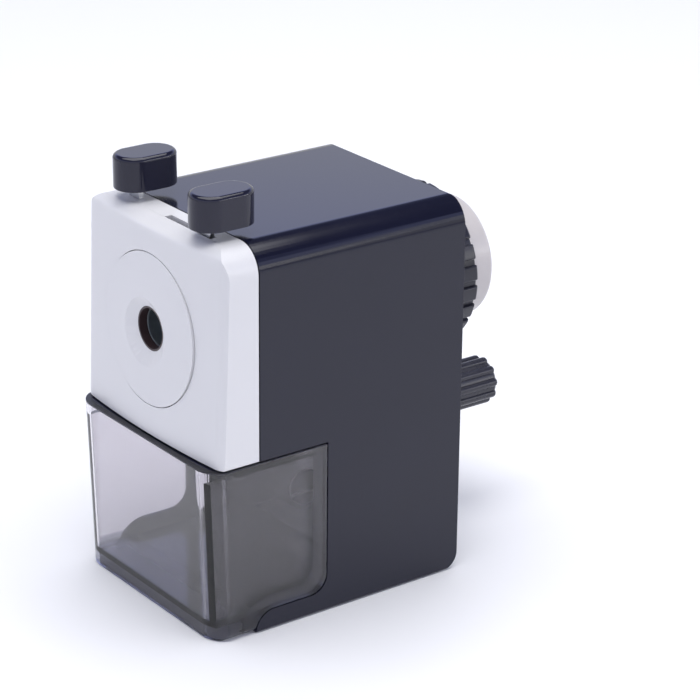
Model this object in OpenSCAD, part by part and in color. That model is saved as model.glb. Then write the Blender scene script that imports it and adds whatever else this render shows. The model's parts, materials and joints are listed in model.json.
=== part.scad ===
// Hand-crank pencil sharpener with a spring-fed front plate.
// X runs across the width, Y from the pencil side to the crank side, Z up.
// The origin is on the table, under the middle of the whole object.

/* [Housing] */
// Width of the housing and of everything flush with it
body_w = 68; // [66:1:74]
// Height of the housing, without the squeeze keys
body_h = 112; // [110:1:118]
// Distance from the front edges to the rear wall
body_d = 80; // [80:1:90]
// Wall thickness of the housing
wall = 2.4; // [2:0.1:2.8]
// Rounding of the two long top edges
edge_r = 8; // [6:0.5:9]
// Height of the pencil and crank axis above the table
axis_z = 81.5; // [80:0.5:83]

/* [Front plate] */
// Depth of the white front plate at the sides
plate_d = 11; // [11:0.5:14]
// Diameter of the round cover around the pencil hole
disc_d = 43; // [40:1:43]
// Diameter of the pencil hole in the front cover
hole_d = 10.8; // [10:0.1:11]
// Diameter of the bore that leads the pencil to the cutter
pencil_hole_d = 9; // [8:0.5:9]
// Distance that the plate pulls out on its rods
pull_travel = 38; // [30:1:38]
// Angle that the squeeze key swings
squeeze_angle = 24; // [18:1:24]

/* [Keys] */
// Length of a squeeze key, front to back
key_l = 18.5; // [16:0.5:20]
// Width of a squeeze key
key_w = 12; // [10:0.5:13]
// Height of a squeeze key
key_h = 9.7; // [8:0.1:12]
// Distance of each key's middle from the centre line
key_x = 19.5; // [18:0.5:21]

/* [Drawer] */
// Height of the drawer's front above the table
drawer_h = 51; // [48:1:52]
// Length of the drawer's side wings from the front edges
wing_d = 33.5; // [30:0.5:36]
// Length of the bin from the front edges
bin_d = 51; // [44:1:51]
// Thickness of the drawer's walls
drawer_wall = 1.8; // [1.6:0.1:2]

/* [Cutter] */
// Half the angle of the point that the cutter makes, in degrees
cone_half = 10.5; // [10:0.5:11]
// Radius of the helical cutter over its teeth
cutter_r = 7.5; // [7:0.1:7.8]
// Number of helical cutting teeth
cutter_teeth = 22; // [16:1:26]
// Teeth on the small gear behind the cutter
pinion_teeth = 14; // [14:2:16]

/* [Crank] */
// Radius of the ribbed locking ring over its ribs
ring_r = 23.8; // [22.5:0.1:25]
// Number of ribs around the locking ring
ring_ribs = 24; // [18:2:30]
// Radius of the white crank hub
hub_r = 18; // [16:0.5:20]
// Distance from the crank's axis to the grip's axis
crank_l = 50; // [44:1:54]
// Angle of the arm from straight down at rest
crank_tilt = 13; // [0:1:20]
// Number of flutes along the grip
grip_flutes = 10; // [8:1:12]

/* [Hidden] */
$fn = 96;

half = body_w / 2;
gap = 0.4;
floor_z = 0.3;
low_edge_r = 0.6;
black = [0.09, 0.09, 0.11];
white = [0.86, 0.86, 0.9];
steel = [0.72, 0.74, 0.76];
smoke = [0.35, 0.34, 0.38, 0.55];
copper = [0.72, 0.45, 0.32];

// front faces: each is flat, leans a little and has rounded corners that run out at the sides
plate_front = -1.4;
plate_lean = -2.1;
plate_corner_r = 6;
drawer_front = -4.8;
drawer_lean = 2;
drawer_corner_r = 8;
plate_top_r = 4;
pocket_y = 3.2;

// rear end of the object, and the shift that puts the origin under its middle
grip_end = 126;
mid_y = (grip_end + drawer_front) / 2;

// squeeze mechanism: the cam ring turns, its slots push the jaws outwards
cam_y = 5.3;
cam_t = 1.4;
cam_r = 19;
jaw_y = cam_y + cam_t + 0.2;
jaw_t = 1.8;
jaw_w = 6;
jaw_rest = 12;
jaw_travel = 3.4;
jaw_pin_r = 1.2;
guide_r = 21;
guide_t = 3.5;
ear_r = 24.5;
arm_w = 5;
arm_angle = atan(key_x / (body_h + 5 - axis_z));
arm_reach = 41.5;
bush_r = 6.3;
bush_front = 1.6;
ring_bore_r = 5.7;
disc_proud = 1.4;
disc_dome = 1.3;
dish_r = 9.6;
dish_end = -1;
jaw_angles = [90, 210, 330];
ear_angles = [30, 150, 270];

// the cam slot is an arc whose distance from the axis grows evenly with the angle
cam_rate = jaw_travel / squeeze_angle * 180 / PI;
cam_mid = jaw_rest + jaw_travel / 2;
cam_centre_u = cam_rate * cam_rate / (cam_mid + 2 * cam_rate * cam_rate / cam_mid);
cam_centre_v = cam_rate * (cam_mid - cam_centre_u) / cam_mid;
cam_arc_r = norm([cam_mid - cam_centre_u, cam_centre_v]);

// guide rods and their springs
rod_x = 26.5;
rod_z = 62;
rod_r = 1.75;
rod_end = 75;
clip_y = 72;
rod_boss_end = 24;

// cutter: its axis leans so that its lower side follows the pencil's cone
tip_y = 57;
pinion_y = 62;
cutter_front = 33;
cutter_len = 24;
axle_r = 1.6;
function axis_offset(y) = cutter_r + (tip_y - y) * tan(cone_half);
pinion_r = axis_offset(pinion_y);
gear_module = 2 * pinion_r / pinion_teeth;
gear_teeth = 2 * pinion_teeth;
gear_r = 2 * pinion_r;
shaft_r = 4.5;
sleeve_r = 8;

// rear end
ring_front = body_d + 0.4;
ring_back = body_d + 14.1;
hub_front = ring_back + 0.3;
hub_back = ring_back + 10;
arm_front = hub_back - 5.6;
cup_r = 17;
cup_front = 59.8;
cup_back = body_d + 8;

clamp_y = 60;
clamp_z = 14;
clamp_hole_r = 3.4;
clamp_depth = 20;

foot_x = 25;
foot_r = 5;
foot_front_y = 18;
foot_rear_y = 62;
base_t = 2.4;
screw_x = 27;
screw_y = 73;
rear_low_r = 5;

// drawer: wing outline, and the bin that runs inside the housing
wing_low = 6.5;
wing_corner_r = 5.5;
nose_y = 16;
lip_w = 2.8;
bin_half = half - wall - 1.4;
bin_low = 3.6;
bin_top = 47;

spring_z = 106;
key_y = 9.2;
left_key_back = 1.3;
clamp_end = clamp_depth + 1.2 - half;
arm_wide = 22;
boss_r = 7.2;
grip_x = -crank_l * sin(crank_tilt);
grip_z = axis_z - crank_l * cos(crank_tilt);

// ---------- helpers ----------

// Puts a part drawn from the front edges into the object's frame
module place() {
    translate([0, -mid_y, 0]) children();
}

// Extrudes a drawing of width and height along Y
module along_y(y0, y1) {
    translate([0, y1, 0]) rotate([90, 0, 0]) linear_extrude(height = y1 - y0) children();
}

// Extrudes a drawing of depth and height along X
module along_x(x0, x1) {
    translate([x0, 0, 0]) rotate([90, 0, 90]) linear_extrude(height = x1 - x0) children();
}

// Moves a drawing of width and height onto the pencil axis
module on_axis() {
    translate([0, axis_z]) children();
}

// A rod along Y
module rod_y(r, y0, y1, x = 0, z = axis_z) {
    translate([x, y1, z]) rotate([90, 0, 0]) cylinder(r = r, h = y1 - y0);
}

// Rectangle with its own radius at the top and at the bottom corners
module round_rect(x0, x1, z0, z1, top_r, low_r) {
    polygon([[x0 + low_r, z0], [x1 - low_r, z0], [x1, z0 + low_r], [x1, z1 - top_r],
        [x1 - top_r, z1], [x0 + top_r, z1], [x0, z1 - top_r], [x0, z0 + low_r]]);
    for (x = [x0 + top_r, x1 - top_r])
        translate([x, z1 - top_r]) circle(top_r);
    for (x = [x0 + low_r, x1 - low_r])
        translate([x, z0 + low_r]) circle(low_r);
}

// Plan of a front: flat face, corners rounded so that they meet the sides at y = 0
module front_plan(front, corner_r, back, half_w) {
    reach = sqrt(corner_r * corner_r - (corner_r + front) * (corner_r + front));
    inner = half_w - reach;
    intersection() {
        translate([-half_w, front]) square([2 * half_w, back - front]);
        union() {
            translate([-half_w, 0]) square([2 * half_w, back]);
            translate([-inner, front]) square([2 * inner, back - front]);
            for (side = [-1, 1])
                translate([side * inner, front + corner_r]) circle(corner_r);
        }
    }
}

// A front's plan raised along its lean, which pivots at the seam above the drawer
module leaning_front(front, corner_r, lean, back, half_w) {
    translate([0, front, drawer_h]) rotate([lean, 0, 0]) translate([0, -front, -80])
        linear_extrude(height = 160) front_plan(front, corner_r, back, half_w);
}

// Compression spring standing on Z, swept from one end to the other
module helix(mean_r, wire_r, length, turns, per_turn = 16, sides = 6) {
    steps = turns * per_turn;
    rise = (length - 2 * wire_r) / steps;
    points = [for (i = [0 : steps]) for (k = [0 : sides - 1])
        let (around = 360 * i / per_turn, section = 360 * k / sides, r = mean_r + wire_r * cos(section))
        [r * cos(around), r * sin(around), wire_r + i * rise + wire_r * sin(section)]];
    skin = [for (i = [0 : steps - 1]) for (k = [0 : sides - 1])
        let (next = (k + 1) % sides)
        [i * sides + k, (i + 1) * sides + k, (i + 1) * sides + next, i * sides + next]];
    start_cap = [for (k = [0 : sides - 1]) k];
    end_cap = [for (k = [0 : sides - 1]) steps * sides + sides - 1 - k];
    polyhedron(points = points, faces = concat([start_cap, end_cap], skin), convexity = 10);
}

// Side view of a drawer wing, grown by g: straight top and rear, round lower corner,
// and a curve down to the floor in front
module wing_region(g, top = drawer_h) {
    rear = wing_d + g;
    low = wing_low - g;
    translate([-20, low]) square([20 + rear - wing_corner_r, top - low]);
    translate([-20, low + wing_corner_r]) square([20 + rear, top - low - wing_corner_r]);
    translate([rear - wing_corner_r, low + wing_corner_r]) circle(wing_corner_r);
    difference() {
        translate([-20, -5]) square([20 + nose_y, 5 + low]);
        translate([nose_y, 0]) circle(low);
    }
}

// ---------- housing ----------

module housing_block() {
    intersection() {
        along_y(nose_y - wing_low, body_d) round_rect(-half, half, floor_z, body_h, edge_r, low_edge_r);
        along_x(-half - 1, half + 1) union() {
            translate([0, floor_z]) square([body_d - rear_low_r, body_h]);
            translate([0, floor_z + rear_low_r]) square([body_d - 0.8, body_h]);
            translate([0, floor_z + rear_low_r]) square([body_d, body_h - floor_z - rear_low_r - 0.8]);
            translate([body_d - rear_low_r, floor_z + rear_low_r]) circle(rear_low_r);
            translate([body_d - 0.8, body_h - 0.8]) circle(0.8);
        }
    }
}

module housing_cavity() {
    along_y(-1, body_d - wall)
        round_rect(wall - half, half - wall, -1, body_h - wall, edge_r - wall, 0.5);
}

// Flange behind the rim of each drawer wing
module wing_lips() {
    for (side = [-1, 1])
        translate([side * (half - wall - 0.4), 0, 0]) along_x(-0.6, 0.6) difference() {
            intersection() {
                wing_region(gap + 2.4, drawer_h + gap + 0.6);
                translate([0, floor_z]) square([body_d, body_h]);
            }
            wing_region(-lip_w, body_h);
        }
}

// Front wall behind the white plate, the drawer bay's ceiling and the sill under the drawer
module housing_webs() {
    along_y(plate_d + gap, plate_d + gap + wall)
        round_rect(0.5 - half, half - 0.5, drawer_h + gap, body_h - 0.5, edge_r - 0.5, 0.3);
    difference() {
        translate([0.5 - half, plate_d + gap, drawer_h + gap]) cube([body_w - 1, body_d - plate_d - 1, 1.6]);
        translate([-20, 28, drawer_h]) cube([40, 44, 5]);
    }
    translate([wall - 0.2 - half, nose_y - wing_low + gap, floor_z]) cube([body_w - 2 * wall + 0.4, 3, base_t]);
    for (side = [-1, 1])
        rod_y(4.6, plate_d + gap, rod_boss_end, side * rod_x, rod_z);
    rod_y(sleeve_r + 2.6, plate_d + gap, plate_d + 9);
}

module body_shell() {
    color(black) place() difference() {
        union() {
            difference() {
                housing_block();
                housing_cavity();
                along_x(-half - 1, half + 1) wing_region(gap, drawer_h + gap);
                translate([-half - 1, -5, drawer_h]) cube([body_w + 2, plate_d + gap + 5, body_h]);
            }
            intersection() {
                wing_lips();
                along_y(0, body_d) round_rect(-half, half, floor_z, body_h, edge_r, low_edge_r);
            }
            intersection() {
                housing_webs();
                housing_block();
            }
            rod_y(cup_r + 2.4, body_d - 0.5, body_d + 6);
            for (a = [0, 120, 240])
                translate([0, 0, axis_z]) rotate([0, a, 0])
                    intersection() {
                        rod_y(20.6, body_d + 3.4, body_d + 5.4, 0, 0);
                        translate([12, 0, -5]) cube([12, 100, 10]);
                    }
            translate([clamp_end - 0.8, clamp_y, clamp_z]) rotate([0, -90, 0])
                cylinder(r = 7.2, h = half + clamp_end - 1.8);
            for (side = [-1, 1])
                translate([side * screw_x, screw_y, floor_z + base_t]) cylinder(r = 4.9, h = 11);
        }
        rod_y(cup_r + 0.1, body_d - wall - 1, body_d + 7);
        rod_y(sleeve_r + 0.08, plate_d, plate_d + 10);
        for (side = [-1, 1])
            rod_y(rod_r + 0.07, plate_d, rod_boss_end + 1, side * rod_x, rod_z);
        translate([-half - 1, clamp_y, clamp_z]) rotate([0, 90, 0])
            cylinder(r = clamp_hole_r + 2, h = half + 1 + clamp_end);
        for (side = [-1, 1])
            translate([side * screw_x, screw_y, 0]) cylinder(r = 1.2, h = 12);
    }
}

module base_cover() {
    color(black) place() difference() {
        translate([0.4 + wall - half, 13, floor_z]) cube([body_w - 2 * wall - 0.8, body_d - wall - 13.4, base_t]);
        for (x = [-foot_x, foot_x], y = [foot_front_y, foot_rear_y])
            translate([x, y, 0]) cylinder(r = foot_r, h = floor_z + 1);
        for (side = [-1, 1]) {
            translate([side * screw_x, screw_y, 0]) cylinder(r = 1.3, h = 5);
            translate([side * screw_x, screw_y, 0]) cylinder(r = 2.6, h = floor_z + 1.2);
        }
    }
}

module base_screws() {
    color(steel) place() for (side = [-1, 1])
        translate([side * screw_x, screw_y, floor_z + 0.1]) difference() {
            union() {
                cylinder(r = 2.5, h = 1.1);
                cylinder(r = 1.2, h = 9);
            }
            for (a = [0, 90])
                rotate([0, 0, a]) translate([-1.6, -0.3, -1]) cube([3.2, 0.6, 1.6]);
        }
}

module foot(x, y) {
    color([0.2, 0.2, 0.21]) place() translate([x, y, 0]) rotate_extrude() {
        square([foot_r - 0.5, floor_z + 1]);
        translate([0, 0.5]) square([foot_r, floor_z + 0.5]);
        translate([foot_r - 0.5, 0.5]) circle(0.5);
    }
}

module clamp_sleeve() {
    color(steel) place() difference() {
        translate([0.4 - half, clamp_y, clamp_z]) rotate([0, 90, 0])
            cylinder(r = clamp_hole_r + 2, h = half - 0.4 + clamp_end);
        translate([-half, clamp_y, clamp_z]) rotate([0, 90, 0])
            cylinder(r = clamp_hole_r, h = clamp_depth + 0.4);
    }
}

// ---------- gear cup and locking ring ----------

// One straight-sided gear tooth, from radius r0 to r1
module tooth(r0, w0, r1, w1) {
    polygon([[r0, -w0 / 2], [r1, -w1 / 2], [r1, w1 / 2], [r0, w0 / 2]]);
}

module gear_cup() {
    color(white) place() {
        difference() {
            union() {
                rod_y(cup_r, cup_front, cup_back);
                rod_y(cup_r + 2.2, body_d + 6.3, cup_back);
            }
            rod_y(cup_r - 1.8, cup_front - 1, cup_back - 4);
            rod_y(7.5, cup_front, cup_back + 1);
        }
        along_y(cup_front, cup_front + 4.4) on_axis() {
            difference() {
                circle(cup_r - 1.4);
                circle(gear_r + 1.15);
            }
            for (i = [0 : gear_teeth - 1])
                rotate(90 + (i + 0.5) * 360 / gear_teeth)
                    tooth(gear_r + 1.4, 1.9, gear_r - 0.6, 0.85);
        }
    }
}

module rear_bushing() {
    color([0.72, 0.58, 0.3]) place() difference() {
        union() {
            rod_y(7.5, cup_back - 4, cup_back + 2);
            rod_y(8.4, cup_back, cup_back + 2);
        }
        rod_y(shaft_r + 0.06, cup_front, cup_back + 3);
    }
}

module lock_ring() {
    color(black) place() {
        difference() {
            along_y(ring_front, ring_back) on_axis() difference() {
                circle(ring_r);
                for (i = [0 : ring_ribs - 1])
                    rotate(i * 360 / ring_ribs) translate([ring_r + 0.25, 0]) circle(1, $fn = 24);
            }
            rod_y(20.9, ring_front - 1, cup_back + 0.3);
            rod_y(9.2, ring_front, ring_back + 1);
            translate([0, ring_back - 0.6, axis_z]) rotate([-90, 0, 0]) rotate_extrude()
                polygon([[ring_r - 0.7, 0.7], [ring_r + 1, 0.7], [ring_r + 1, -1], [ring_r - 0.1, -0.1]]);
        }
        for (a = [0, 120, 240])
            translate([0, 0, axis_z]) rotate([0, a, 0]) difference() {
                intersection() {
                    rod_y(21.5, ring_front + 0.4, ring_front + 2.6, 0, 0);
                    translate([10, 0, -5]) cube([14, 100, 10]);
                }
                rod_y(cup_r + 2.7, ring_front, ring_front + 3, 0, 0);
            }
    }
}

// ---------- drawer ----------

module drawer() {
    color(smoke) place() {
        intersection() {
            difference() {
                leaning_front(drawer_front, drawer_corner_r, drawer_lean, 60, half);
                leaning_front(drawer_front + drawer_wall, drawer_corner_r - drawer_wall, drawer_lean, 61,
                    half - drawer_wall);
            }
            along_y(-10, 60) round_rect(-half, half, floor_z, drawer_h, 0.3, 2.5);
            along_x(-half, half) wing_region(0);
        }
        difference() {
            intersection() {
                translate([-bin_half, -5, bin_low]) cube([2 * bin_half, bin_d + 5, bin_top - bin_low]);
                leaning_front(drawer_front + 0.6, drawer_corner_r, drawer_lean, 60, half);
            }
            translate([drawer_wall - bin_half, -6, bin_low + drawer_wall])
                cube([2 * (bin_half - drawer_wall), bin_d + 6 - drawer_wall, bin_top]);
        }
    }
}

// ---------- front plate ----------

// Side view of the plate's rounded top front edge, in the plate's leaning frame
module plate_side() {
    top = body_h + 0.15;
    translate([plate_front, 0]) square([30, top - plate_top_r]);
    translate([plate_front + plate_top_r, 0]) square([30, body_h + 10]);
    translate([plate_front + plate_top_r, top - plate_top_r]) circle(plate_top_r);
}

module plate_block() {
    intersection() {
        leaning_front(plate_front, plate_corner_r, plate_lean, 20, half);
        translate([0, plate_front, drawer_h]) rotate([plate_lean, 0, 0])
            translate([0, -plate_front, -drawer_h]) along_x(-half - 1, half + 1) plate_side();
        along_y(-5, plate_d) round_rect(-half, half, drawer_h + gap, body_h, edge_r, 0.4);
    }
}

module front_plate() {
    color(white) place() difference() {
        union() {
            difference() {
                plate_block();
                along_y(pocket_y, plate_d + 1)
                    round_rect(2.2 - half, half - 2.2, drawer_h + 2.6, body_h - 2.2, edge_r - 2.2, 2);
            }
            for (side = [-1, 1])
                rod_y(4.2, pocket_y - 0.5, plate_d - 0.4, side * rod_x, rod_z);
            for (a = ear_angles)
                rod_y(3, pocket_y - 0.5, jaw_y, ear_r * cos(a), axis_z + ear_r * sin(a));
            translate([-8.5, pocket_y - 0.5, spring_z - 3]) cube([2.5, 5.3, body_h - spring_z + 2]);
        }
        rod_y(disc_d / 2 + 0.25, -5, 2);
        rod_y(disc_d / 2 - 2.5, -5, pocket_y + 0.1);
        for (side = [-1, 1])
            rod_y(rod_r, 4.5, plate_d, side * rod_x, rod_z);
        for (a = ear_angles)
            rod_y(1, 4, jaw_y + 1, ear_r * cos(a), axis_z + ear_r * sin(a));
        translate([-1.2, cam_y - 0.4, body_h - 4]) cube([21.8, cam_t + 0.8, 6]);
        translate([-key_x - arm_w / 2 - 0.1, jaw_y - 0.1, body_h - 4]) cube([arm_w + 0.2, cam_t + 0.2, 6]);
    }
}

// Puts a part drawn around the pencil axis onto the plate's leaning face
module on_plate_face() {
    translate([0, plate_front, drawer_h]) rotate([plate_lean, 0, 0])
        translate([0, 0, axis_z - drawer_h]) rotate([-90, 0, 0]) children();
}

module front_disc() {
    color(white) place() difference() {
        union() {
            intersection() {
                leaning_front(plate_front - disc_proud, plate_corner_r, plate_lean, 20, half);
                rod_y(disc_d / 2, -5, 2);
            }
            on_plate_face() translate([0, 0, -disc_proud - disc_dome])
                cylinder(r1 = dish_r + 1, r2 = disc_d / 2 - 0.7, h = disc_dome + 0.1);
            rod_y(disc_d / 2 - 2.6, 1.5, pocket_y);
        }
        rod_y(bush_r, -5, plate_d);
        translate([0, -3.6, axis_z]) rotate([-90, 0, 0])
            cylinder(r1 = dish_r + 1, r2 = bush_r + 0.1, h = dish_end + 3.6);
    }
}

// Dark ring that lines the mouth of the pencil hole
module hole_ring() {
    color([0.16, 0.13, 0.12]) place() difference() {
        rod_y(bush_r, dish_end, bush_front);
        rod_y(ring_bore_r, -5, plate_d);
    }
}

module hole_bush() {
    color(steel) place() difference() {
        union() {
            rod_y(bush_r, bush_front, jaw_y - 0.1);
            rod_y(9, pocket_y + 0.1, cam_y - 0.2);
        }
        rod_y(hole_d / 2, 0, plate_d);
    }
}

// Drawing of a jaw seen from the front, lying along +X
module jaw_outline() {
    polygon([[1.2, -1.2], [3.4, -jaw_w / 2], [16, -jaw_w / 2], [16, jaw_w / 2], [3.4, jaw_w / 2], [1.2, 1.2]]);
}

module jaw(angle) {
    color(steel) place() translate([0, 0, axis_z]) rotate([0, -angle, 0]) {
        along_y(jaw_y, jaw_y + jaw_t) jaw_outline();
        rod_y(jaw_pin_r, cam_y - 0.1, jaw_y + 0.5, jaw_rest, 0);
    }
}

// Cam slot for a jaw lying along +X: it starts at the pin and runs clockwise
module cam_slot() {
    slot_r = jaw_pin_r + 0.15;
    first = [jaw_rest * cos(squeeze_angle / 2), jaw_rest * sin(squeeze_angle / 2)];
    last = [(jaw_rest + jaw_travel) * cos(squeeze_angle / 2), -(jaw_rest + jaw_travel) * sin(squeeze_angle / 2)];
    centre = [cam_centre_u, -cam_centre_v];
    rotate(-squeeze_angle / 2) {
        translate(first) circle(slot_r);
        translate(last) circle(slot_r);
        intersection() {
            translate(centre) difference() {
                circle(cam_arc_r + slot_r);
                circle(cam_arc_r - slot_r);
            }
            polygon([centre, centre + 2 * (first - centre), centre + 2 * (last - centre)]);
        }
    }
}

module cam_ring() {
    color(steel) place() along_y(cam_y, cam_y + cam_t) on_axis() difference() {
        union() {
            circle(cam_r);
            rotate(90 - arm_angle) translate([cam_r - 3, -arm_w / 2]) square([arm_reach - cam_r + 3, arm_w]);
        }
        circle(bush_r + 0.06);
        for (a = jaw_angles)
            rotate(a) cam_slot();
    }
}

module jaw_guide() {
    color(steel) place() difference() {
        union() {
            along_y(jaw_y, jaw_y + guide_t) on_axis() difference() {
                union() {
                    circle(guide_r);
                    for (a = ear_angles)
                        rotate(a) {
                            translate([ear_r, 0]) circle(3.3);
                            translate([guide_r - 4, -2.6]) square([ear_r - guide_r + 4, 5.2]);
                        }
                }
                circle(bush_r - 0.6);
                for (a = ear_angles)
                    rotate(a) translate([ear_r, 0]) circle(1.1);
            }
            translate([-key_x - arm_w / 2, jaw_y, axis_z + 14.3]) cube([arm_w, cam_t, body_h - axis_z - 6.8]);
        }
        for (a = jaw_angles)
            translate([0, 0, axis_z]) rotate([0, -a, 0])
                translate([2, jaw_y - 1, -jaw_w / 2 - 0.05]) cube([guide_r, jaw_t + 1.1, jaw_w + 0.1]);
        for (a = ear_angles)
            rod_y(2.1, jaw_y + guide_t - 1.2, plate_d + 1, ear_r * cos(a), axis_z + ear_r * sin(a));
    }
}

module guide_screws() {
    color(steel) place() for (a = ear_angles)
        translate([ear_r * cos(a), 0, axis_z + ear_r * sin(a)]) difference() {
            union() {
                rod_y(1, 4.2, jaw_y + guide_t - 1, 0, 0);
                rod_y(1.9, jaw_y + guide_t - 1.2, jaw_y + guide_t - 0.1, 0, 0);
            }
            for (b = [0, 90])
                rotate([0, b, 0]) translate([-1.2, jaw_y + guide_t - 0.6, -0.25]) cube([2.4, 2, 0.5]);
        }
}

module return_spring() {
    color(copper) place() translate([-6, cam_y + cam_t / 2, spring_z]) rotate([0, 90, 0])
        helix(1.5, 0.3, 15.4, 9);
}

module guide_rod(side) {
    color(steel) place() difference() {
        rod_y(rod_r, 4.5, rod_end, side * rod_x, rod_z);
        difference() {
            rod_y(rod_r + 1, clip_y, clip_y + 1, side * rod_x, rod_z);
            rod_y(rod_r - 0.4, clip_y - 1, clip_y + 2, side * rod_x, rod_z);
        }
    }
}

module rod_clip(side) {
    color(steel) place() translate([side * rod_x, 0, rod_z]) difference() {
        rod_y(3.4, clip_y + 0.05, clip_y + 0.95, 0, 0);
        rod_y(rod_r - 0.4, clip_y - 1, clip_y + 2, 0, 0);
        translate([-1, clip_y - 1, -5]) cube([2, 3, 5]);
    }
}

module feed_spring(side) {
    color(steel) place() translate([side * rod_x, rod_boss_end + 0.2, rod_z]) rotate([-90, 0, 0])
        helix(2.5, 0.35, clip_y - rod_boss_end - 0.4, 13);
}

// Half of a key's section: flat underneath, rounded at the top
module key_half_section() {
    r = 1.3;
    square([key_w / 2, key_h - r]);
    square([key_w / 2 - r, key_h]);
    translate([key_w / 2 - r, key_h - r]) circle(r);
}

module key_block() {
    straight = key_l - key_w;
    for (side = [-1, 1])
        translate([0, side * straight / 2, 0]) rotate_extrude() intersection() {
            key_half_section();
            square([key_w, key_h]);
        }
    translate([0, straight / 2, 0]) rotate([90, 0, 0]) linear_extrude(height = straight) {
        key_half_section();
        mirror([1, 0]) key_half_section();
    }
}

module key(side) {
    color(black) place() difference() {
        translate([side * key_x, key_y + (side < 0 ? left_key_back : 0), body_h + 3]) key_block();
        if (side < 0)
            translate([-key_x - arm_w / 2, jaw_y, body_h]) cube([arm_w, cam_t, 7.6]);
        else
            along_y(cam_y, cam_y + cam_t) on_axis() rotate(90 - arm_angle)
                translate([0, -arm_w / 2]) square([arm_reach + 0.1, arm_w]);
    }
}

// ---------- rotating cutter unit ----------

// Frame of the cutter: +Z runs rearwards along its leaning axis, from the small gear's middle
module on_cutter_axis() {
    translate([0, pinion_y, axis_z + pinion_r]) rotate([-90 - cone_half, 0, 0]) children();
}

// Part of the cutter's axis, between two depths
module cutter_rod(r, y0, y1) {
    translate([0, 0, 0]) on_cutter_axis() translate([0, 0, (y0 - pinion_y) / cos(cone_half)])
        cylinder(r = r, h = (y1 - y0) / cos(cone_half));
}

module carrier() {
    color([0.55, 0.56, 0.58]) place() difference() {
        union() {
            rod_y(sleeve_r, plate_d + 0.7, 26);
            rod_y(17.5, 25, 28.6);
            rod_y(11.4, 28, 66);
            rod_y(12, 65.4, 69.4);
            rod_y(shaft_r, 69, hub_back - 4);
        }
        difference() {
            rod_y(8.6, 28.6, 65.4);
            translate([-20, 28, axis_z - 30]) cube([40, 0.5, 10]);
        }
        translate([-20, 28.6, axis_z + 1]) cube([40, 36.8, 30]);
        rod_y(pencil_hole_d / 2, 0, 30);
        translate([0, plate_d + 0.6, axis_z]) rotate([-90, 0, 0])
            cylinder(r1 = 7.2, r2 = pencil_hole_d / 2, h = 4);
        cutter_rod(axle_r, 24, 68.6);
        rod_y(1.5, hub_back - 16, hub_back);
    }
}

module cutter_axle() {
    color(steel) place() cutter_rod(axle_r, 25.6, 68.5);
}

module cutter() {
    color([0.35, 0.36, 0.38]) place() on_cutter_axis() difference() {
        union() {
            translate([0, 0, (cutter_front - pinion_y) / cos(cone_half)])
                linear_extrude(height = cutter_len, twist = 55, slices = 10)
                    polygon([for (i = [0 : cutter_teeth - 1]) each
                        [for (step = [[0, 0], [0.35, 0.9], [0.95, 0]])
                            let (a = (i + step[0]) * 360 / cutter_teeth, r = cutter_r - 0.9 + step[1])
                            [r * cos(a), r * sin(a)]]]);
            translate([0, 0, -33]) cylinder(r = 3.4, h = 31.2);
        }
        translate([0, 0, -40]) cylinder(r = axle_r + 0.05, h = 60);
    }
}

module cutter_pinion() {
    color(steel) place() on_cutter_axis() translate([0, 0, -1.8]) linear_extrude(height = 3.6) difference() {
        union() {
            circle(pinion_r - 1.2);
            for (i = [0 : pinion_teeth - 1])
                rotate(i * 360 / pinion_teeth - 90) tooth(pinion_r - 1.5, 2.1, pinion_r + 0.58, 0.8);
        }
        circle(axle_r + 0.05);
    }
}

// ---------- crank ----------

module crank() {
    color(white) place() difference() {
        union() {
            translate([0, hub_front, axis_z]) rotate([-90, 0, 0]) rotate_extrude()
                intersection() {
                    union() {
                        square([hub_r - 1.5, hub_back - hub_front]);
                        translate([0, 1.5]) square([hub_r, hub_back - hub_front - 3]);
                        for (y = [1.5, hub_back - hub_front - 1.5])
                            translate([hub_r - 1.5, y]) circle(1.5);
                    }
                    square([hub_r, hub_back - hub_front]);
                }
            along_y(arm_front, hub_back) on_axis() rotate(-crank_tilt) {
                polygon([[-arm_wide / 2, -4], [arm_wide / 2, -4],
                    [boss_r * 0.97, -crank_l], [-boss_r * 0.97, -crank_l]]);
                translate([0, -crank_l]) circle(boss_r);
            }
        }
        rod_y(shaft_r, hub_front - 1, hub_back - 4);
        rod_y(1.5, hub_front, hub_back + 1);
        rod_y(4, hub_back - 2.4, hub_back + 1);
        difference() {
            rod_y(hub_r - 3, hub_back - 1.2, hub_back + 1);
            rod_y(7, hub_back - 2, hub_back + 1);
            translate([0, 0, axis_z]) rotate([0, crank_tilt, 0]) translate([-12, 0, -40]) cube([24, 200, 40]);
        }
        rod_y(2, 0, hub_back + 1, grip_x, grip_z);
    }
}

module crank_screw() {
    color(steel) place() difference() {
        union() {
            rod_y(1.5, hub_back - 14, hub_back - 2);
            rod_y(3.6, hub_back - 2.4, hub_back - 0.6);
        }
        for (a = [0, 90])
            translate([0, 0, axis_z]) rotate([0, a, 0]) translate([-2.2, hub_back - 1.4, -0.4]) cube([4.4, 2, 0.8]);
    }
}

module grip_pin() {
    color(steel) place() {
        rod_y(2, arm_front - 1.2, grip_end - 1.4, grip_x, grip_z);
        rod_y(3.2, arm_front - 1.2, arm_front, grip_x, grip_z);
        rod_y(3.5, grip_end - 1.6, grip_end - 0.5, grip_x, grip_z);
    }
}

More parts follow.
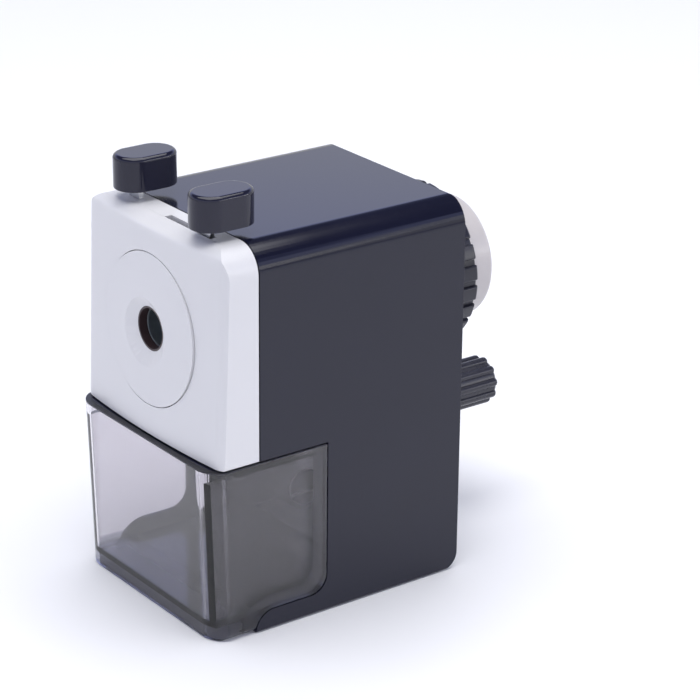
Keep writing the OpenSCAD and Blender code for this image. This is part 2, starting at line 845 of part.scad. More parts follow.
module grip() {
    length = grip_end - hub_back - 0.4;
    color(black) place() difference() {
        intersection() {
            along_y(hub_back + 0.4, grip_end) translate([grip_x, grip_z]) {
                circle(6.6);
                for (i = [0 : grip_flutes - 1])
                    rotate((i + 0.25) * 360 / grip_flutes) translate([6.05, 0]) circle(1.4, $fn = 32);
            }
            translate([grip_x, hub_back + 0.4, grip_z]) rotate([-90, 0, 0]) rotate_extrude()
                polygon([[0, 0], [6.6, 0], [7.6, 1], [7.6, length - 1.2], [6.4, length], [0, length]]);
        }
        rod_y(2.06, 0, grip_end + 1, grip_x, grip_z);
        rod_y(3.9, grip_end - 1.7, grip_end + 1, grip_x, grip_z);
    }
}

// ---------- all nodes ----------

body_shell();
base_cover();
base_screws();
foot(-foot_x, foot_front_y);  // foot_front_left
foot(foot_x, foot_front_y);  // foot_front_right
foot(-foot_x, foot_rear_y);  // foot_rear_left
foot(foot_x, foot_rear_y);  // foot_rear_right
clamp_sleeve();
gear_cup();
rear_bushing();
drawer();
front_plate();
front_disc();
hole_ring();
hole_bush();
jaw_guide();
guide_screws();
return_spring();
guide_rod(-1);  // guide_rod_left
guide_rod(1);  // guide_rod_right
rod_clip(-1);  // rod_clip_left
rod_clip(1);  // rod_clip_right
feed_spring(-1);  // feed_spring_left
feed_spring(1);  // feed_spring_right
key(-1);  // key_left
cam_ring();
key(1);  // key_right
jaw(90);  // jaw_top
jaw(210);  // jaw_left
jaw(330);  // jaw_right
carrier();
crank();
crank_screw();
grip_pin();
grip();
cutter();
cutter_axle();
cutter_pinion();
lock_ring();
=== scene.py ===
# %% [markdown]
# # A hand-crank pencil sharpener
# The object stands on a pale table: a glossy black housing, a white front plate with a pencil hole,
# two black squeeze keys on steel tabs, a smoked shavings drawer, and a crank at the rear.
# Every cell below makes one piece or one finish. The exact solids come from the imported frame, and
# each visible piece is a finer copy of its solid or a new mesh that stands for it.

# %% Frame
import json
import math

import bmesh
import bpy
from mathutils import Matrix, Vector

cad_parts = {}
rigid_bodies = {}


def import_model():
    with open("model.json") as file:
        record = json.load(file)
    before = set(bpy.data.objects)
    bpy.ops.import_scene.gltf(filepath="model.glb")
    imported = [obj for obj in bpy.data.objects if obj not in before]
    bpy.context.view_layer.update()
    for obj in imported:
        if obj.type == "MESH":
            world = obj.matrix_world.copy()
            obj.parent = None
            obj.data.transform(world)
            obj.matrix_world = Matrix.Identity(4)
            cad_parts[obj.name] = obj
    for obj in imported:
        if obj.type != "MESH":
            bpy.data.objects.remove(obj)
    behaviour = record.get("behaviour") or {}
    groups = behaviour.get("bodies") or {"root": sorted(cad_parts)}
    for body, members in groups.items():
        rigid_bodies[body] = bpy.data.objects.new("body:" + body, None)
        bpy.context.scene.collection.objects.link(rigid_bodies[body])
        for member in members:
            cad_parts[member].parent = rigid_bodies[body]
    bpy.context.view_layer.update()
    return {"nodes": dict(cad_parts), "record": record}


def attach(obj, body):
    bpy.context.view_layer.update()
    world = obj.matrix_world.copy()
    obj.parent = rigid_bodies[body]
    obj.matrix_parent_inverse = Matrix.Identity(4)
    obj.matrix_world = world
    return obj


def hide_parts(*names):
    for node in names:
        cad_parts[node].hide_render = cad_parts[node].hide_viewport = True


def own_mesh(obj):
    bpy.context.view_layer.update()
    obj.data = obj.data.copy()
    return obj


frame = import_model()
nodes = frame["nodes"]
scene = bpy.context.scene
scene.view_settings.view_transform = "Standard"
MM = 0.001
MIDDLE = -60.6  # the front edges of the housing lie this far in front of the object's middle
AXIS_Z = 81.5   # height of the pencil's and the crank's axis
print("loaded", len(nodes), "solids")

# %% [markdown]
# ## Writing shader maths as expressions
# A finish is a small sum: a base roughness plus a little noise, a colour mixed by a mask. Linking
# Math nodes one by one hides that sum, so a small class wraps a socket and adds the nodes when it
# meets +, -, * or /. Any other node comes from one method that sets it up and links its sockets.

# %% Sockets that can be added and multiplied
class Wire:
    """A socket of a finish; arithmetic on it adds Math nodes."""

    def __init__(self, finish, socket):
        self.finish, self.socket = finish, socket

    def _maths(self, operation, a, b):
        return self.finish.node("ShaderNodeMath", {"operation": operation}, {0: a, 1: b})

    def __add__(self, other):
        return self._maths("ADD", self, other)

    def __sub__(self, other):
        return self._maths("SUBTRACT", self, other)

    def __rsub__(self, other):
        return self._maths("SUBTRACT", other, self)

    def __mul__(self, other):
        return self._maths("MULTIPLY", self, other)

    def __truediv__(self, other):
        return self._maths("DIVIDE", self, other)

    def __rtruediv__(self, other):
        return self._maths("DIVIDE", other, self)

    __radd__, __rmul__ = __add__, __mul__


class Writer:
    """Adds nodes to a tree and links them."""

    def node(self, kind, settings=None, sockets=None, out=0):
        made = self.tree.nodes.new(kind)
        for key, value in (settings or {}).items():
            setattr(made, key, value)
        for key, value in (sockets or {}).items():
            self.link(value, made.inputs[key])
        return Wire(self, made.outputs[out])

    def link(self, value, socket):
        if isinstance(value, Wire):
            self.tree.links.new(value.socket, socket)
        elif hasattr(socket.default_value, "__len__") and len(socket.default_value) == 4:
            socket.default_value = (*value[:3], 1)
        else:
            socket.default_value = value


class Finish(Writer):
    """A material with a Principled shader, built from expressions."""

    def __init__(self, name, **fixed):
        self.material = bpy.data.materials.new(name)
        self.material.use_nodes = True
        self.tree = self.material.node_tree
        self.shader = self.tree.nodes["Principled BSDF"]
        for socket, value in fixed.items():
            self.shader.inputs[socket.replace("_", " ")].default_value = value

    def place(self, stretch=(1, 1, 1)):
        """The piece's own coordinates in metres, stretched so that a pattern becomes streaks."""
        own = self.node("ShaderNodeTexCoord", out="Object")
        return self.node("ShaderNodeMapping", {}, {"Vector": own, "Scale": stretch})

    def noise(self, scale, detail=3.0, stretch=(1, 1, 1)):
        return self.node("ShaderNodeTexNoise", {},
                         {"Vector": self.place(stretch), "Scale": scale, "Detail": detail})

    def blend(self, mask, first, second):
        return self.node("ShaderNodeMix", {"data_type": "RGBA"}, {0: mask, 6: first, 7: second}, out=2)

    def above(self, value, limit_mm):
        """A mask of 1 where a coordinate is above a limit."""
        return self.node("ShaderNodeMath", {"operation": "GREATER_THAN"}, {0: value, 1: limit_mm * MM})

    def bump(self, height, depth, strength=1.0):
        return self.node("ShaderNodeBump", {}, {"Height": height, "Distance": depth, "Strength": strength})

    def set(self, **varying):
        for socket, value in varying.items():
            self.link(value, self.shader.inputs[socket.replace("_", " ")])
        return self.material


print("the finish writer is ready")

# %% [markdown]
# ## Glossy black housing
# The housing is moulded ABS, polished in the mould, so it mirrors the room with a soft waviness
# (orange peel). A plain dark colour would look like lacquered metal; a low, slow bump and a faint
# film of handling marks in the roughness make it plastic.

# %% Black plastics
def glossy_black(name, colour, rough, peel):
    finish = Finish(name, IOR=1.46)
    haze = finish.noise(60, 4)
    specks = finish.noise(900, 2)
    wave = finish.noise(330, 2)
    shade = finish.blend(haze, colour, [c * 1.25 for c in colour])
    return finish.set(Base_Color=shade, Roughness=haze * 0.05 + specks * 0.03 + rough,
                      Normal=finish.bump(wave, peel))


housing_black = glossy_black("housing_black", (0.006, 0.0065, 0.017), 0.08, 0.0000015)
key_black = glossy_black("key_black", (0.01, 0.01, 0.022), 0.07, 0.0000015)


def satin_black(name, colour, rough):
    finish = Finish(name, IOR=1.48)
    grain = finish.noise(2600, 2)
    wear = finish.noise(120, 5)
    shade = finish.blend(wear, colour, [c * 1.5 for c in colour])
    return finish.set(Base_Color=shade, Roughness=wear * 0.12 + rough,
                      Normal=finish.bump(grain + wear * 0.5, 0.00002))


grip_black = satin_black("grip_black", (0.018, 0.018, 0.027), 0.22)
ring_black = satin_black("ring_black", (0.012, 0.012, 0.02), 0.25)
base_black = satin_black("base_black", (0.02, 0.02, 0.022), 0.4)
print("black plastics:", [m.name for m in (housing_black, key_black, grip_black, ring_black, base_black)])

# %% [markdown]
# ## White plastics
# The front plate has a fine spark-eroded grain and is only half glossy, and the crank is smoother
# and a little warmer. Both get a trace of cloudiness, because a perfectly even white looks like paper.

# %% White plastics
def white_plastic(name, colour, rough, grain_depth):
    finish = Finish(name, IOR=1.5)
    grain = finish.noise(3200, 2)
    cloud = finish.noise(35, 4)
    shade = finish.blend(cloud, [c * 0.96 for c in colour], colour)
    return finish.set(Base_Color=shade, Roughness=cloud * 0.08 + rough,
                      Normal=finish.bump(grain, grain_depth))


plate_white = white_plastic("plate_white", (0.69, 0.685, 0.69), 0.3, 0.00001)
crank_white = white_plastic("crank_white", (0.52, 0.49, 0.485), 0.26, 0.000006)
print("white plastics:", plate_white.name, crank_white.name)

# %% [markdown]
# ## Smoked drawer
# The drawer is clear styrene tinted with smoke grey. It is a solid of real thickness, so the shader
# only has to tint what passes through and mirror a little, with fine scuffs in the gloss. Light is
# tinted once at every wall it crosses, so one colour would turn too dark where walls lie behind each
# other. Masks on the piece's own coordinates give the front, wings and bin their own tint. They also
# paint shade: the floor's tint is darkened as painted shade for the black plastic under it, and the top
# edge is painted near-black as painted shade of the seam under the white plate.

# %% Smoked clear plastic
RIM_Z = 50.6    # the drawer's top edge above this height is frosted and painted near-black, a painted shade of the seam under the white plate
BIN_X = 31.0    # the wings lie further out than this, the bin's clearer walls nearer the middle
FLOOR_Z = 5.9   # the bin's floor below this height is tinted darker, a painted shade for the black plastic under it


def smoked():
    finish = Finish("smoked_clear", IOR=1.5)
    finish.shader.inputs["Transmission Weight"].default_value = 1.0
    scuffs = finish.noise(260, 5, (1, 1, 0.15))
    wave = finish.noise(90, 2)
    own = finish.node("ShaderNodeTexCoord", out="Object")
    across, depth, height = (
        finish.node("ShaderNodeSeparateXYZ", {}, {0: own}, out=axis) for axis in "XYZ")
    side = finish.node("ShaderNodeMath", {"operation": "ABSOLUTE"}, {0: across})
    wing = finish.above(side, BIN_X)
    walls = finish.above(depth, MIDDLE) * (1 - wing)
    tint = finish.blend(wave, (0.83, 0.81, 0.835), (0.85, 0.83, 0.855))
    tint = finish.blend(wing, tint, (0.74, 0.725, 0.76))
    tint = finish.blend(walls, tint, (0.95, 0.94, 0.955))
    # painted shade: the bin's floor is tinted darker to stand for the black plastic under it
    tint = finish.blend(1 - finish.above(height, FLOOR_Z), tint, (0.36, 0.36, 0.42))
    # painted shade: the top edge is painted near-black for the dark seam under the white plate, and made
    # rougher
    rim = finish.above(height, RIM_Z)
    return finish.set(Base_Color=finish.blend(rim, tint, (0.012, 0.012, 0.03)),
                      Roughness=scuffs * 0.05 + rim * 0.3 + 0.01,
                      Normal=finish.bump(wave, 0.000004))


smoked_clear = smoked()
print("clear plastic:", smoked_clear.name)

# %% [markdown]
# ## Metals and rubber
# Rolled and turned steel carries fine lines along the way it was worked, so its roughness is a noise
# stretched into streaks. The carrier is cast and has a grain instead. Spring wire is copper coated.

# %% Metals and rubber
def worked_metal(name, colour, rough, stretch, scale=500, depth=0.000006):
    finish = Finish(name, Metallic=1.0)
    streaks = finish.noise(scale, 5, stretch)
    stain = finish.noise(90, 4)
    shade = finish.blend(stain, [c * 0.85 for c in colour], colour)
    return finish.set(Base_Color=shade, Roughness=streaks * 0.2 + stain * 0.06 + rough,
                      Normal=finish.bump(streaks, depth))


sheet_steel = worked_metal("sheet_steel", (0.62, 0.63, 0.65), 0.2, (0.06, 0.06, 1))
turned_steel = worked_metal("turned_steel", (0.6, 0.6, 0.62), 0.16, (1, 0.05, 1))
tool_steel = worked_metal("tool_steel", (0.3, 0.3, 0.32), 0.24, (1, 0.2, 1))
cast_metal = worked_metal("cast_metal", (0.5, 0.51, 0.53), 0.35, (1, 1, 1), 1400, 0.00003)
copper_wire = worked_metal("copper_wire", (0.72, 0.40, 0.27), 0.22, (1, 0.2, 1), 900)
bearing_brass = worked_metal("bearing_brass", (0.68, 0.52, 0.24), 0.25, (1, 0.1, 1))
bore_steel = worked_metal("bore_steel", (0.34, 0.38, 0.4), 0.3, (1, 0.2, 1))
bush_brown = satin_black("bush_brown", (0.03, 0.018, 0.019), 0.3)
foot_rubber = satin_black("foot_rubber", (0.02, 0.02, 0.02), 0.6)
print("metals:", [m.name for m in (sheet_steel, turned_steel, tool_steel, cast_metal, copper_wire,
                                  bearing_brass, bore_steel)])
print("dark fittings:", bush_brown.name, foot_rubber.name)

# %% [markdown]
# ## Finer copies of the solids
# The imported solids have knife-sharp edges, which moulded plastic never has. A copy of each solid is
# merged into one skin, its flat faces are joined, and a Bevel rounds only the sharp edges. Shading is
# smooth on the curves and the small bevels catch the light.

# %% Finer copies
BODY_OF = {n: b for b, members in frame["record"]["behaviour"]["bodies"].items() for n in members}


def link_piece(mesh, name, material, body):
    """Puts a finished mesh into the scene as a piece that rides on a body."""
    mesh.materials.clear()
    mesh.materials.append(material)
    piece = bpy.data.objects.new(name, mesh)
    scene.collection.objects.link(piece)
    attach(piece, body)
    return piece


def baked(obj, name):
    """The evaluated shape of an object as a plain mesh."""
    bpy.context.view_layer.update()
    graph = bpy.context.evaluated_depsgraph_get()
    mesh = bpy.data.meshes.new_from_object(obj.evaluated_get(graph))
    mesh.name = name
    return mesh


FLAT = math.radians(1)  # neighbouring faces that meet at less than this are one flat face


def merged_skin(mesh):
    """A copy of a solid's mesh with shared corners and whole flat faces."""
    shell = bmesh.new()
    shell.from_mesh(mesh)
    bmesh.ops.remove_doubles(shell, verts=shell.verts, dist=2e-6)
    bmesh.ops.dissolve_limit(shell, angle_limit=FLAT, verts=shell.verts, edges=shell.edges)
    copy = bpy.data.meshes.new("skin")
    shell.to_mesh(copy)
    shell.free()
    return copy


def closed_mesh(shape):
    """A mesh from a closed shape, with its faces turned outward."""
    bmesh.ops.recalc_face_normals(shape, faces=shape.faces)
    mesh = bpy.data.meshes.new("shape")
    shape.to_mesh(mesh)
    shape.free()
    return mesh


def softened(skin, name, round_mm=0.25, segments=2, sharp=32):
    """A mesh with its sharp edges rounded and its curves shaded smooth."""
    skin.shade_smooth()
    skin.set_sharp_from_angle(angle=math.radians(sharp))
    blank = bpy.data.objects.new("blank", skin)
    scene.collection.objects.link(blank)
    if round_mm:
        bevel = blank.modifiers.new("round", "BEVEL")
        bevel.width = round_mm * MM
        bevel.segments = segments
        bevel.limit_method = "ANGLE"
        bevel.angle_limit = math.radians(sharp)
        bevel.miter_outer = "MITER_ARC"
        bevel.use_clamp_overlap = True
        bevel.harden_normals = True
    weigh = blank.modifiers.new("weigh", "WEIGHTED_NORMAL")
    weigh.mode = "FACE_AREA"
    weigh.weight = 100
    weigh.keep_sharp = True
    mesh = baked(blank, name)
    bpy.data.objects.remove(blank)
    return mesh


def stand_in(mesh, node, material):
    """Makes a finished mesh the visible piece of a solid."""
    piece = link_piece(mesh, node + "_fine", material, BODY_OF[node])
    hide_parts(node)
    print(f"{node}: {len(mesh.vertices)} vertices")
    return piece


BULGE = 1.4          # how far the middle of the plate's face swells forward
BULGE_X = 30.15      # the swell ends this far to each side
FACE_Y = 1.9         # the face lies in front of this depth
BLEND_Y = 0.6        # the swell fades in over this depth
CUT_X, CUTS = 4, 7   # the face is cut every 4 mm, 7 times to each side


def bulged(mesh):
    """The plate with its face swelling forward by a little in the middle, as the moulding does."""
    shape = bmesh.new()
    shape.from_mesh(mesh)
    for step in range(-CUTS, CUTS + 1):
        bmesh.ops.bisect_plane(shape, geom=shape.verts[:] + shape.edges[:] + shape.faces[:], dist=1e-6,
                               plane_co=(step * CUT_X * MM, 0, 0), plane_no=(1, 0, 0))
    for vert in shape.verts:
        x, y = vert.co.x / MM, vert.co.y / MM - MIDDLE
        if abs(x) < BULGE_X and y < FACE_Y:
            vert.co.y -= BULGE * (1 - (x / BULGE_X) ** 2) * min(1, (FACE_Y - y) / BLEND_Y) * MM
    return closed_mesh(shape)


# each solid's finish, and how far its sharp edges are rounded in millimetres
FINISH_OF = {
    "body_shell": (housing_black, 0.3), "base_cover": (base_black, 0.2),
    "clamp_sleeve": (turned_steel, 0.2), "gear_cup": (crank_white, 0),
    "rear_bushing": (bearing_brass, 0.15), "drawer": (smoked_clear, 0.25),
    "front_plate": (plate_white, 0.35), "front_disc": (plate_white, 0.4),
    "hole_ring": (bush_brown, 0.1), "hole_bush": (bore_steel, 0.1),
    "jaw_guide": (sheet_steel, 0.1), "key_left": (key_black, 0.3), "key_right": (key_black, 0.3),
    "cam_ring": (sheet_steel, 0.1), "jaw_top": (tool_steel, 0.08),
    "jaw_left": (tool_steel, 0.08), "jaw_right": (tool_steel, 0.08),
    "guide_rod_left": (turned_steel, 0.1), "guide_rod_right": (turned_steel, 0.1),
    "rod_clip_left": (tool_steel, 0.05), "rod_clip_right": (tool_steel, 0.05),
    "carrier": (cast_metal, 0.2), "crank": (crank_white, 0.3), "grip_pin": (turned_steel, 0.15),
    "cutter_axle": (turned_steel, 0.1), "cutter_pinion": (tool_steel, 0.06),
    "base_screws": (turned_steel, 0.06), "crank_screw": (turned_steel, 0.08),
    "foot_front_left": (foot_rubber, 0), "foot_front_right": (foot_rubber, 0),
    "foot_rear_left": (foot_rubber, 0), "foot_rear_right": (foot_rubber, 0),
}
for node, (material, round_mm) in FINISH_OF.items():
    skin = merged_skin(nodes[node].data)
    if node == "front_plate":
        skin = bulged(skin)
    stand_in(softened(skin, node + "_skin", round_mm), node, material)

# %% [markdown]
# The drawer's upper edge carries a dark lip that reaches under the white plate and closes the view
# into the seam. It follows the drawer's plan: flat in the middle, rounded at the corners.

# %% Drawer lip
def strip(sections):
    """A solid through a row of sections, each a loop of points in millimetres."""
    shape = bmesh.new()
    loops = [[shape.verts.new(Vector(p) * MM) for p in section] for section in sections]
    for near, far in zip(loops, loops[1:]):
        for j in range(len(near)):
            m = (j + 1) % len(near)
            shape.faces.new((near[j], near[m], far[m], far[j]))
    shape.faces.new(loops[0])
    shape.faces.new(loops[-1])
    return closed_mesh(shape)


LIP_FRONT, LIP_DEPTH = -3.2, 3.6     # where the lip starts, and how far back it reaches
LIP_LOW, LIP_TOP = 50.1, 50.95       # its heights
LIP_CORNER = 6.4                     # radius of its corners
LIP_FLAT, LIP_END = 26.6, 31.8       # where its corners start, and its ends
LIP_STEPS = 60


def lip_section(x):
    beyond = max(abs(x) - LIP_FLAT, 0)
    y = LIP_FRONT + LIP_CORNER - math.sqrt(LIP_CORNER ** 2 - beyond ** 2) + MIDDLE
    return [(x, y, LIP_LOW), (x, y, LIP_TOP), (x, y + LIP_DEPTH, LIP_TOP), (x, y + LIP_DEPTH, LIP_LOW)]


lip_mesh = strip([lip_section(LIP_END * (2 * k / LIP_STEPS - 1)) for k in range(LIP_STEPS + 1)])
link_piece(lip_mesh, "drawer_lip", housing_black, "drawer")
print("lip:", len(lip_mesh.vertices), "vertices")

# %% [markdown]
# ## What repeats
# Springs, ring ribs, grip flutes, cutter teeth and the three guide screws each repeat one shape, so
# Geometry Nodes makes them. Two trees are enough: one sweeps a wire along a coil whose last turns lie
# close together, the other turns copies of one element about an axis and joins them to a core.

# %% Trees for what repeats
TAU = 2 * math.pi


class Tree(Writer):
    """A geometry node tree with named inputs, ended by realized instances and a finish."""

    def __init__(self, name, **inputs):
        self.tree = bpy.data.node_groups.new(name, "GeometryNodeTree")
        sides = self.tree.interface
        sides.new_socket("Geometry", in_out="INPUT", socket_type="NodeSocketGeometry")
        sides.new_socket("Geometry", in_out="OUTPUT", socket_type="NodeSocketGeometry")
        self.ids = {key: sides.new_socket(key, in_out="INPUT", socket_type="NodeSocket" + kind).identifier
                    for key, kind in inputs.items()}
        self.entry = self.tree.nodes.new("NodeGroupInput")

    def given(self, key):
        return Wire(self, self.entry.outputs[key])

    def end(self, shape):
        whole = self.node("GeometryNodeRealizeInstances", {}, {"Geometry": shape})
        done = self.node("GeometryNodeSetMaterial", {},
                         {"Geometry": whole, "Material": self.given("Finish")})
        self.link(done, self.tree.nodes.new("NodeGroupOutput").inputs["Geometry"])
        return self


def coil_tree():
    tree = Tree("coil", Radius="Float", Wire="Float", Length="Float", Turns="Float", Close="Float",
                Finish="Material")
    radius, wire = tree.given("Radius"), tree.given("Wire")
    spiral = tree.node("GeometryNodeCurveSpiral", {}, {
        "Resolution": 28, "Rotations": tree.given("Turns"), "Start Radius": radius, "End Radius": radius,
        "Height": 1.0})
    here = tree.node("GeometryNodeInputPosition")
    x, y, along = (tree.node("ShaderNodeSeparateXYZ", {}, {0: here}, out=axis) for axis in "XYZ")
    wave = tree.node("ShaderNodeMath", {"operation": "SINE"}, {0: along * TAU})
    height = (along - wave * tree.given("Close")) * (tree.given("Length") - wire * 2) + wire
    place = tree.node("ShaderNodeCombineXYZ", {}, {"X": x, "Y": y, "Z": height})
    path = tree.node("GeometryNodeSetPosition", {}, {"Geometry": spiral, "Position": place})
    section = tree.node("GeometryNodeCurvePrimitiveCircle", {}, {"Resolution": 10, "Radius": wire})
    swept = tree.node("GeometryNodeCurveToMesh", {}, {"Curve": path, "Profile Curve": section,
                                                      "Fill Caps": True})
    return tree.end(tree.node("GeometryNodeSetShadeSmooth", {}, {"Geometry": swept}))


def around_tree():
    tree = Tree("around", Core="Object", Count="Int", Phase="Float", Waver="Float", Seed="Int",
                Finish="Material")
    count, waver = tree.given("Count"), tree.given("Waver")
    spots = tree.node("GeometryNodeMeshLine", {"mode": "OFFSET"}, {"Count": count, "Offset": (0, 0, 0)})
    stray = tree.node("FunctionNodeRandomValue", {"data_type": "FLOAT"},
                      {2: 0 - waver, 3: waver, "Seed": tree.given("Seed")}, out=1)
    angle = tree.node("GeometryNodeInputIndex") * (TAU / count) + tree.given("Phase") + stray
    turn = tree.node("ShaderNodeCombineXYZ", {}, {"Y": angle})
    copies = tree.node("GeometryNodeInstanceOnPoints", {}, {
        "Points": spots, "Instance": tree.given("Geometry"), "Rotation": turn})
    core = tree.node("GeometryNodeObjectInfo", {}, {"Object": tree.given("Core")}, out="Geometry")
    joined = tree.node("GeometryNodeJoinGeometry", {}, {0: core})
    tree.link(copies, joined.socket.node.inputs[0])
    return tree.end(joined)


def grown(tree, name, element=None, core=None, **values):
    """Runs a tree, on an element and a core where it takes them, and returns a plain mesh."""
    blank = bpy.data.objects.new(name, element or bpy.data.meshes.new(name))
    scene.collection.objects.link(blank)
    if core:
        values["Core"] = bpy.data.objects.new("core", core)
        scene.collection.objects.link(values["Core"])
    grow = blank.modifiers.new("grow", "NODES")
    grow.node_group = tree.tree
    for key, value in values.items():
        grow[tree.ids[key]] = value
    mesh = baked(blank, name)
    blank.modifiers.remove(grow)
    bpy.data.objects.remove(blank)
    if core:
        bpy.data.objects.remove(values["Core"])
    return mesh


coil, around = coil_tree(), around_tree()
print("trees:", [t.tree.name for t in (coil, around)])

# %% [markdown]
# The feed springs push the front plate home, so they shorten when the plate is pulled; the copper
# spring pushes the swinging key back.

# %% Springs
def spring(node, material, base, turn, radius, wire, length, turns, close):
    mesh = grown(coil, node, Radius=radius * MM, Wire=wire * MM, Length=length * MM, Turns=turns,
                 Close=close, Finish=material)
    mesh.transform(Matrix.Translation(Vector(base) * MM) @ turn)
    piece = stand_in(mesh, node, material)
    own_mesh(piece)


ALONG_Y = Matrix.Rotation(-TAU / 4, 4, "X")
ALONG_X = Matrix.Rotation(TAU / 4, 4, "Y")
ROD_X, ROD_Z = 26.5, 62
FEED_FROM, FEED_LONG = 24.2 + MIDDLE, 47.6
for node, x in (("feed_spring_left", -ROD_X), ("feed_spring_right", ROD_X)):
    spring(node, turned_steel, (x, FEED_FROM, ROD_Z), ALONG_Y, radius=2.5, wire=0.35, length=FEED_LONG,
           turns=13.0, close=0.12)
KEY_SPRING = (-6, 6 + MIDDLE, 106)
spring("return_spring", copper_wire, KEY_SPRING, ALONG_X, radius=1.5, wire=0.3, length=15.4,
       turns=9.0, close=0.09)

# %% [markdown]
# The locking ring, the grip and the cutter are turned cores with one rib, flute or tooth repeated
# around them. The teeth stray by a hair, because ground teeth are never perfectly even.

# %% Turned cores and single elements
def lathe(profile, steps=144, closed=True):
    """A shape turned around the Y axis from points of radius and depth in millimetres."""
    shape = bmesh.new()
    rings = [[shape.verts.new(Vector((r * math.cos(a), y, r * math.sin(a))) * MM) for r, y in profile]
             for a in (TAU * k / steps for k in range(steps))]
    last = len(profile) if closed else len(profile) - 1
    for k, ring in enumerate(rings):
        after = rings[(k + 1) % steps]
        for j in range(last):
            m = (j + 1) % len(profile)
            shape.faces.new((ring[j], ring[m], after[m], after[j]))
    bmesh.ops.remove_doubles(shape, verts=shape.verts, dist=1e-7)
    return closed_mesh(shape)


def polar(radius, angle, y):
    return (radius * math.cos(angle), y, radius * math.sin(angle))


def moved(mesh, matrix):
    mesh.transform(matrix)
    return mesh


def to_axis(x, z):
    return Matrix.Translation(Vector((x, MIDDLE, z)) * MM)


print("the lathe is ready")

# %% [markdown]
# The locking ring is turned with the fingers, so its rim has broad ribs with narrow notches between
# them. Three lugs inside its open front turn behind the lugs of the housing's collar. Ribs and lugs
# sit around the same core, so the tree runs twice: first for the lugs, then for the ribs.

# %% Locking ring
RING_RIBS, RING_R, RING_FRONT, RING_BACK = 24, 23.8, 80.4, 94.1
RING_CORE_R, RING_BORE_R = 22.8, 20.9
RING_WEB_Y, WEB_HOLE_R = 88.3, 9.2   # the web that closes the ring at the rear, and its hole
ring_core = lathe([(RING_BORE_R, RING_FRONT), (22.5, RING_FRONT), (RING_CORE_R, RING_FRONT + 0.4),
                   (RING_CORE_R, RING_BACK - 1), (22.2, RING_BACK), (WEB_HOLE_R, RING_BACK),
                   (WEB_HOLE_R, RING_WEB_Y), (RING_BORE_R, RING_WEB_Y)])


def rib_section(top, half_angle, y):
    foot = [polar(22.4, side * half_angle * 1.12, y) for side in (1, -1)]
    return foot + [polar(top, half_angle * step / 4, y) for step in range(-4, 5)]


HALF_RIB = math.radians(5.1)
rib = strip([rib_section(RING_R, HALF_RIB, RING_FRONT + 0.1),
             rib_section(RING_R, HALF_RIB, RING_BACK - 0.8),
             rib_section(RING_R - 0.7, HALF_RIB * 0.97, RING_BACK - 0.05)])
LUG = ((19.7, -13), (21.4, -13), (21.5, 0), (21.4, 13), (19.7, 13))  # radius and angle of its corners
lug = strip([[polar(r, math.radians(a), y) for r, a in LUG]
             for y in (RING_FRONT + 0.4, RING_FRONT + 2.6)])
ring_mesh = grown(around, "lugged_ring", softened(lug, "lug", 0.1), softened(ring_core, "ring_core", 0.3),
                  Count=3, Phase=0.0, Waver=0.0, Seed=1, Finish=ring_black)
ring_mesh = grown(around, "ribbed_ring", softened(rib, "rib", 0.35, 3), ring_mesh, Count=RING_RIBS,
                  Phase=TAU / RING_RIBS / 2, Waver=0.0, Seed=2, Finish=ring_black)
stand_in(moved(ring_mesh, to_axis(0, AXIS_Z)), "lock_ring", ring_black)

# %% [markdown]
# The grip is a sleeve with ten rounded flutes that turns on its pin. One flute is a thin turned rod,
# half sunk in the core. That is simpler than a fluted outline and has the same silhouette.

# %% Grip
GRIP_FRONT, GRIP_END, FLUTES = 104.5, 126.0, 10
GRIP_R, FLUTE_R, FLUTES_AT = 6.5, 1.4, 6.05
PIN_BORE_R, RECESS_R = 2.06, 3.9
RECESS_Y = GRIP_END - 1.7
GRIP_X, GRIP_Z = -11.2476, 32.7815   # where the crank holds the grip's pin
grip_core = lathe([(PIN_BORE_R, GRIP_FRONT), (6.2, GRIP_FRONT), (GRIP_R, GRIP_FRONT + 0.5),
                   (GRIP_R, GRIP_END - 0.9), (5.9, GRIP_END), (RECESS_R, GRIP_END),
                   (RECESS_R, RECESS_Y), (PIN_BORE_R, RECESS_Y)])
flute = lathe([(0, GRIP_FRONT + 0.1), (0.8, GRIP_FRONT + 0.1), (1.3, GRIP_FRONT + 0.5),
               (FLUTE_R, GRIP_FRONT + 1), (FLUTE_R, GRIP_END - 1.2), (1.2, GRIP_END - 0.6),
               (0.7, GRIP_END - 0.15), (0, GRIP_END - 0.1)], steps=24, closed=False)
flute.transform(Matrix.Translation(Vector((FLUTES_AT, 0, 0)) * MM))
grip_mesh = grown(around, "fluted_grip", softened(flute, "flute", 0, sharp=60),
                  softened(grip_core, "grip_core", 0.25), Count=FLUTES, Phase=-TAU * 0.25 / FLUTES,
                  Waver=0.0, Seed=3, Finish=grip_black)
stand_in(moved(grip_mesh, to_axis(GRIP_X, GRIP_Z)), "grip", grip_black)

# %% [markdown]
# The cutter is a cylinder with helical teeth. One tooth is a strip of sections that turn a little
# from slice to slice, and the tree repeats it around the core. The whole cutter then leans, so that
# its side lies along the cone of the pencil's point.

# %% Cutter
CUTTER_R, TEETH, TWIST, LEAN = 7.5, 22, math.radians(55), math.radians(10.5)
TEETH_FROM, TEETH_LONG = -29.494, 24.0
TEETH_END = TEETH_FROM + TEETH_LONG
ROOT_R, NECK_R, AXLE_BORE_R = 6.5, 3.4, 1.65
CORE_R = ROOT_R + 0.12   # the core covers the feet of the teeth
NECK_FROM, NECK_END = -33, -1.8
PITCH = TAU / TEETH
cutter_core = lathe([(AXLE_BORE_R, NECK_FROM), (NECK_R, NECK_FROM), (NECK_R, TEETH_FROM),
                     (CORE_R, TEETH_FROM), (CORE_R, TEETH_END), (NECK_R, TEETH_END),
                     (NECK_R, NECK_END), (AXLE_BORE_R, NECK_END)], steps=96)
TOOTH = ((0, ROOT_R), (0.35, CUTTER_R), (0.42, CUTTER_R - 0.03), (0.95, ROOT_R))  # part of a pitch, radius
SLICES = 20
